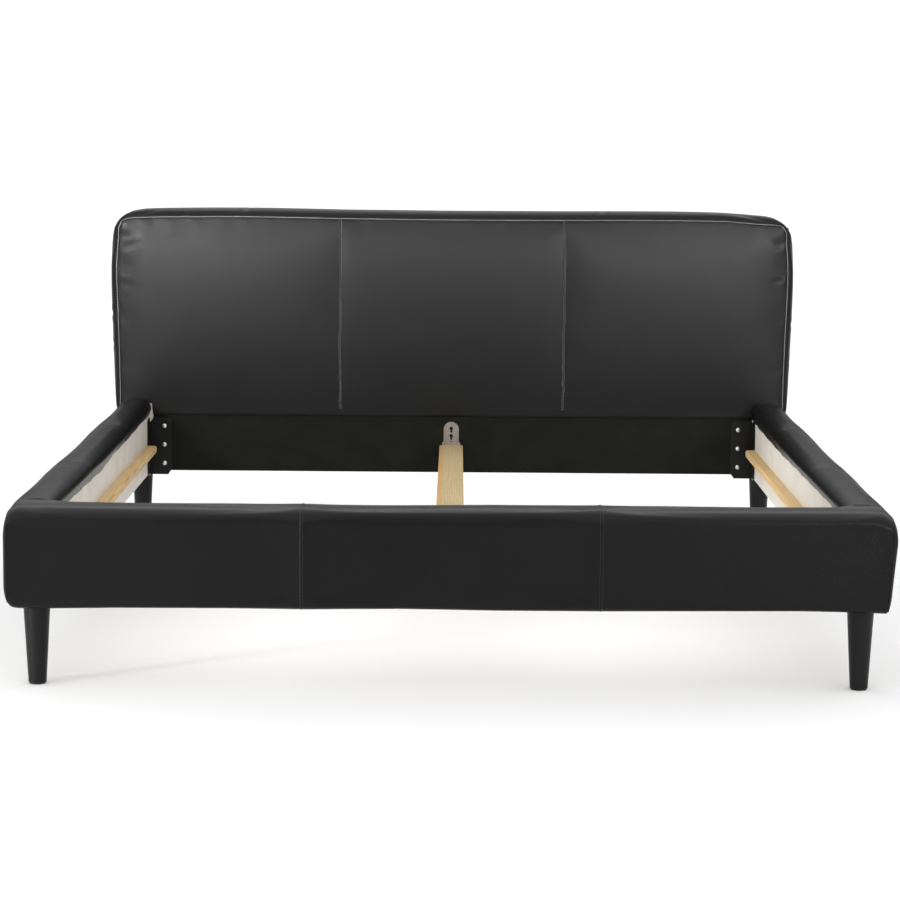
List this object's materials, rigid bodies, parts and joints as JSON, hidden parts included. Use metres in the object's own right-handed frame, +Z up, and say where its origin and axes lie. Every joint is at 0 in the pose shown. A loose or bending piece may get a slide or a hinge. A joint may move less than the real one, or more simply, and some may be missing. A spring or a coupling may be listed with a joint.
{
  "type": "upholstered bed frame",
  "caption": "Low upholstered double bed frame in dark leather with a tall padded headboard, padded rails, tapered round legs and a lift-out centre beam.",
  "frame": {"origin": "on the floor under the middle of the bed's outline", "axes": "+Z up, +Y towards the headboard, +X to the right seen from the foot"},
  "size_m": [2.036, 2.235, 1],
  "materials": {
    "leather": "smooth charcoal-black leather with a soft sheen and fine grain",
    "foam": "open-cell upholstery foam with wadding",
    "felt": "dark felt",
    "lining_cloth": "black non-woven lining cloth",
    "zinc_fasteners": "bright zinc-plated",
    "black_fasteners": "black-plated",
    "black_steel": "satin black powder coat",
    "galvanised_steel": "galvanised sheet",
    "pine": "planed pine, unfinished",
    "black_lacquered_wood": "satin black lacquer",
    "black_plastic": "moulded plastic",
    "white_board": "off-white faced board",
    "chipboard": "raw board",
    "frame_timber": "sawn softwood"
  },
  "bodies": {
    "bed_frame": {"foot_bracket_bolts": "zinc_fasteners", "foot_bracket_left": "black_steel", "foot_bracket_right": "black_steel", "foot_cover": "leather", "foot_foam": "foam", "foot_inner_board": "white_board", "foot_outer_board": "chipboard", "foot_spacers": "frame_timber", "foot_top_board": "chipboard", "front_leg_left": "black_lacquered_wood", "front_leg_right": "black_lacquered_wood", "head_bracket_bolts": "zinc_fasteners", "head_bracket_left": "black_steel", "head_bracket_right": "black_steel", "headboard_back_cloth": "lining_cloth", "headboard_bottom_rail": "frame_timber", "headboard_cover": "leather", "headboard_face_panel": "chipboard", "headboard_foam": "foam", "headboard_lower_board": "chipboard", "headboard_lower_felt": "felt", "headboard_middle_rail": "frame_timber", "headboard_post_left": "frame_timber", "headboard_post_right": "frame_timber", "headboard_top_rail": "frame_timber", "keyhole_plate_foot": "galvanised_steel", "keyhole_plate_head": "galvanised_steel", "keyhole_plate_screws": "zinc_fasteners", "ledger_left": "pine", "ledger_right": "pine", "ledger_screws_left": "zinc_fasteners", "ledger_screws_right": "zinc_fasteners", "leg_bolts": "zinc_fasteners", "leg_glides": "black_plastic", "leg_nuts": "zinc_fasteners", "rail_bracket_screws": "black_fasteners", "rail_left_cover": "leather", "rail_left_foam": "foam", "rail_left_inner_board": "white_board", "rail_left_outer_board": "chipboard", "rail_left_spacers": "frame_timber", "rail_left_top_board": "chipboard", "rail_right_cover": "leather", "rail_right_foam": "foam", "rail_right_inner_board": "white_board", "rail_right_outer_board": "chipboard", "rail_right_spacers": "frame_timber", "rail_right_top_board": "chipboard", "rear_leg_left": "black_lacquered_wood", "rear_leg_right": "black_lacquered_wood"},
    "beam_assembly": {"centre_beam": "pine", "beam_end_plate_head": "galvanised_steel", "beam_end_plate_foot": "galvanised_steel", "beam_studs": "zinc_fasteners", "beam_end_screws": "zinc_fasteners", "centre_leg": "black_lacquered_wood", "centre_leg_plate": "black_steel", "centre_leg_screws": "zinc_fasteners"},
    "levelling_foot": {"centre_leg_glide": "black_plastic"}
  },
  "joints": [
    {"name": "beam_lift", "type": "slide", "parent": "bed_frame", "child": "beam_assembly", "axis": [0, 0, 1], "range_m": [0, 0.0104]},
    {"name": "glide_adjust", "type": "slide", "parent": "beam_assembly", "child": "levelling_foot", "axis": [0, 0, -1], "range_m": [0, 0.01]}
  ]
}
